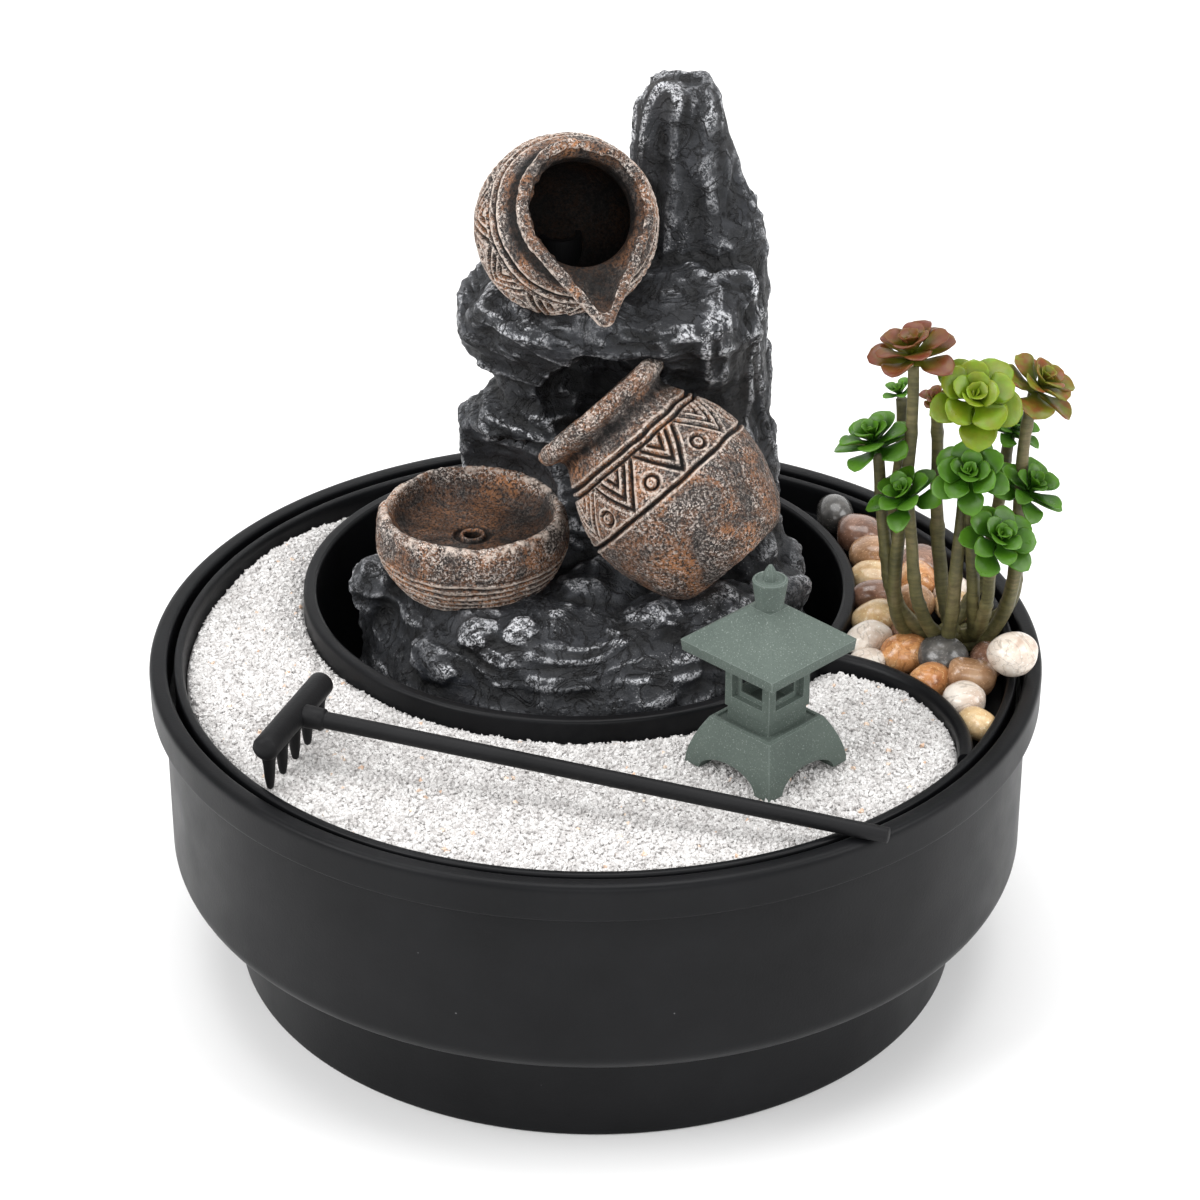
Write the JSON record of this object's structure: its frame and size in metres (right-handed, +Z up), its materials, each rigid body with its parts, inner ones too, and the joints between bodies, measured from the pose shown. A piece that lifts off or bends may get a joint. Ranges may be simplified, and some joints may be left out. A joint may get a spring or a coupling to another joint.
{
  "type": "tabletop water fountain",
  "caption": "Round tabletop fountain: black bowl with a sand garden, cast rock with three clay pots, submersible pump, lantern, rake, pebbles and a small plant.",
  "frame": {"origin": "centre of the bowl's flat base, on the table", "axes": "+Z up; -Y is the front, where the sand lies; +X is the side with the plant; the cord leaves towards +Y"},
  "size_m": [0.2344, 0.23, 0.22],
  "materials": {
    "bowl_plastic": "satin moulded, fine dust",
    "tray_plastic": "satin moulded",
    "pad_rubber": "matte",
    "sand": "coarse white grains with a few tan ones",
    "pebble_dark": "polished, speckled",
    "pebble_warm": "polished, mottled",
    "pebble_pale": "polished",
    "pump_plastic": "satin moulded",
    "clear_vinyl": "translucent, glossy",
    "core_steel": "varnished laminations",
    "shaft_ceramic": "ground",
    "impeller_plastic": "satin",
    "magnet": "matte",
    "rock": "charcoal cast rock with pale dry-brushed edges",
    "pottery": "orange brown with dark and pale speckle",
    "lantern_plastic": "grey green, fine speckle, pale edges",
    "rake_plastic": "matte charcoal",
    "stem": "olive brown, ribbed",
    "leaf_green": "soft glossy leaves",
    "leaf_lime": "soft glossy leaves",
    "leaf_red": "soft glossy leaves, green at the base"
  },
  "bodies": {
    "bowl": {"outer_bowl": "bowl_plastic", "base_pads": "pad_rubber", "cord_grommet": "pad_rubber"},
    "tray": {"inner_tray": "tray_plastic", "sand_bed": "sand", "pebbles_dark": "pebble_dark", "pebbles_warm": "pebble_warm", "pebbles_pale": "pebble_pale", "pump_housing": "pump_plastic", "pump_cover": "pump_plastic", "pump_suction_cups": "clear_vinyl", "pump_cord_gland": "pad_rubber", "stator_core": "core_steel", "impeller_shaft": "shaft_ceramic"},
    "sculpture": {"fountain_rock": "rock", "pouring_jug": "pottery", "round_jar": "pottery", "drain_bowl": "pottery", "water_tube": "clear_vinyl"},
    "lantern": {"lantern_base": "lantern_plastic", "lantern_light_box": "lantern_plastic", "lantern_roof": "lantern_plastic", "lantern_finial": "lantern_plastic"},
    "rake": {"rake_head": "rake_plastic", "rake_handle": "rake_plastic"},
    "plant": {"plant_stems": "stem", "rosette_red_left": "leaf_red", "rosette_lime_top": "leaf_lime", "rosette_red_right": "leaf_red", "rosette_red_small": "leaf_red", "rosette_green_a": "leaf_green", "rosette_green_b": "leaf_green", "rosette_green_c": "leaf_green", "rosette_green_d": "leaf_green", "rosette_green_e": "leaf_green", "rosette_green_f": "leaf_green", "rosette_green_g": "leaf_green"},
    "impeller": {"impeller": "impeller_plastic", "rotor_magnet": "magnet"},
    "flow_dial": {"flow_dial": "pump_plastic"}
  },
  "joints": [
    {"name": "tray_lift", "type": "slide", "parent": "bowl", "child": "tray", "axis": [0, 0, 1], "range_m": [0, 0.055]},
    {"name": "sculpture_lift", "type": "slide", "parent": "tray", "child": "sculpture", "axis": [0, 0, 1], "range_m": [0, 0.055]},
    {"name": "lantern_lift", "type": "slide", "parent": "tray", "child": "lantern", "axis": [0, 0, 1], "range_m": [0, 0.03]},
    {"name": "rake_lift", "type": "slide", "parent": "tray", "child": "rake", "axis": [0, 0, 1], "range_m": [0, 0.03]},
    {"name": "plant_lift", "type": "slide", "parent": "tray", "child": "plant", "axis": [0, 0, 1], "range_m": [0, 0.03]},
    {"name": "impeller_spin", "type": "hinge", "parent": "tray", "child": "impeller", "pos_m": [0, 0.04, 0.059], "axis": [0, 1, 0], "continuous": true},
    {"name": "flow_dial_turn", "type": "hinge", "parent": "tray", "child": "flow_dial", "pos_m": [0, 0.0267, 0.059], "axis": [0, 1, 0], "range_deg": [0, 30]}
  ]
}
